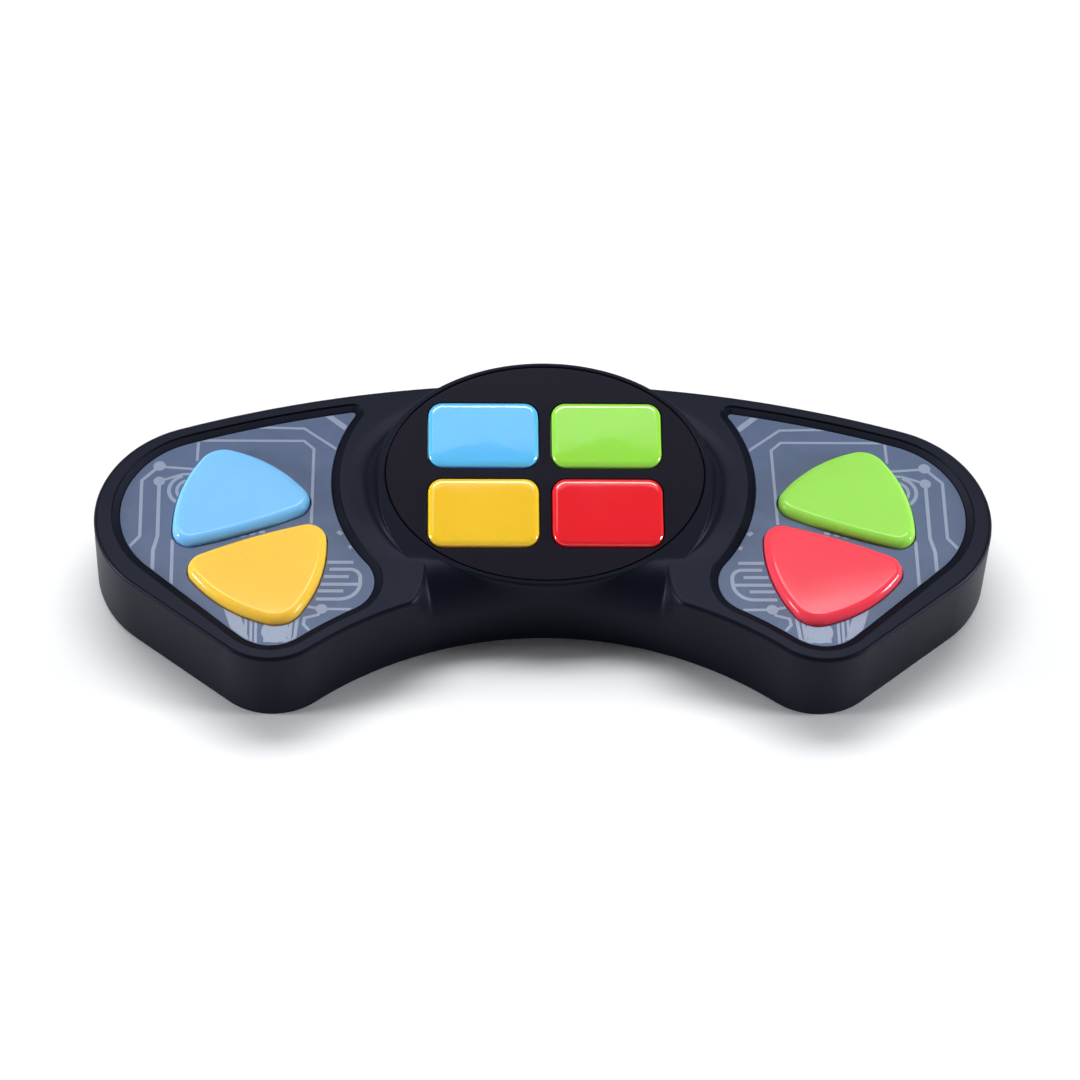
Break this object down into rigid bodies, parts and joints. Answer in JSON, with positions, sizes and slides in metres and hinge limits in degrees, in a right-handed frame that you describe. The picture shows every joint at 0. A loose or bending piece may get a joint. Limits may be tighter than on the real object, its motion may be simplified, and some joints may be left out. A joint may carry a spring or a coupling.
{
  "type": "electronic memory game",
  "caption": "Handheld electronic memory game: a boomerang case with thumb keys in printed wings and a leaning oval display of coloured light windows.",
  "frame": {"origin": "centre of the bounding box at its bottom, on the plane of the back", "axes": "+X along the case to the player's right, +Y to the crown and away from the player, +Z out of the key side"},
  "size_m": [0.2168, 0.0869, 0.0361],
  "materials": {
    "case": "satin black moulded plastic",
    "cover": "black moulded plastic, slightly matter",
    "inlay": "blue-grey sheet printed with thin light circuit traces",
    "blue": "translucent light blue, glossy",
    "yellow": "translucent warm yellow, glossy",
    "green": "translucent light green, glossy",
    "red": "translucent red, glossy",
    "board": "green circuit board",
    "baffle": "white light baffle",
    "steel": "plated steel",
    "epoxy": "black",
    "rubber": "grey silicone rubber",
    "cell": "plain dark cell jacket",
    "cone": "dark paper cone",
    "knob": "black slider"
  },
  "bodies": {
    "game": {"back_cover": "cover", "battery_cell_1": "cell", "battery_cell_2": "cell", "battery_contact_negative": "steel", "battery_contact_positive": "steel", "battery_link_contact": "steel", "battery_wire_black": "epoxy", "battery_wire_red": "red", "capacitor": "steel", "display_plate": "case", "front_shell": "case", "game_chip": "epoxy", "housing_screw_left_1": "steel", "housing_screw_left_2": "steel", "housing_screw_left_3": "steel", "housing_screw_right_1": "steel", "housing_screw_right_2": "steel", "housing_screw_right_3": "steel", "inlay_left": "inlay", "inlay_right": "inlay", "key_board_left": "board", "key_board_right": "board", "key_board_screw_left_1": "steel", "key_board_screw_left_2": "steel", "key_board_screw_right_1": "steel", "key_board_screw_right_2": "steel", "key_lead_left": "epoxy", "key_lead_right": "epoxy", "led_blue": "blue", "led_green": "green", "led_red": "red", "led_yellow": "yellow", "light_baffle": "baffle", "main_board": "board", "main_board_screw_left": "steel", "main_board_screw_right": "steel", "power_switch_body": "steel", "rubber_dome_blue": "rubber", "rubber_dome_green": "rubber", "rubber_dome_red": "rubber", "rubber_dome_yellow": "rubber", "speaker_cone": "cone", "speaker_frame": "steel", "speaker_wire_black": "epoxy", "speaker_wire_red": "red", "switch_wire": "red", "window_blue": "blue", "window_green": "green", "window_red": "red", "window_yellow": "yellow"},
    "key_blue": {"key_blue": "blue"},
    "key_yellow": {"key_yellow": "yellow"},
    "key_green": {"key_green": "green"},
    "key_red": {"key_red": "red"},
    "power_switch_slider": {"power_switch_slider": "knob"},
    "battery_door": {"battery_door": "cover", "battery_door_screw": "steel"}
  },
  "joints": [
    {"name": "key_blue_press", "type": "slide", "parent": "game", "child": "key_blue", "axis": [0, 0, -1], "range_m": [0, 0.0015], "stiffness_N_per_m": 400, "springref_m": -0.0004, "deforming": ["rubber_dome_blue"]},
    {"name": "key_yellow_press", "type": "slide", "parent": "game", "child": "key_yellow", "axis": [0, 0, -1], "range_m": [0, 0.0015], "stiffness_N_per_m": 400, "springref_m": -0.0004, "deforming": ["rubber_dome_yellow"]},
    {"name": "key_green_press", "type": "slide", "parent": "game", "child": "key_green", "axis": [0, 0, -1], "range_m": [0, 0.0015], "stiffness_N_per_m": 400, "springref_m": -0.0004, "deforming": ["rubber_dome_green"]},
    {"name": "key_red_press", "type": "slide", "parent": "game", "child": "key_red", "axis": [0, 0, -1], "range_m": [0, 0.0015], "stiffness_N_per_m": 400, "springref_m": -0.0004, "deforming": ["rubber_dome_red"]},
    {"name": "power_switch_slide", "type": "slide", "parent": "game", "child": "power_switch_slider", "axis": [1, 0, 0], "range_m": [0, 0.003]},
    {"name": "battery_door_tilt", "type": "hinge", "parent": "game", "child": "battery_door", "pos_m": [-0.02555, 0.02641, 0.00015], "axis": [0, 1, 0], "range_deg": [0, 60]}
  ]
}
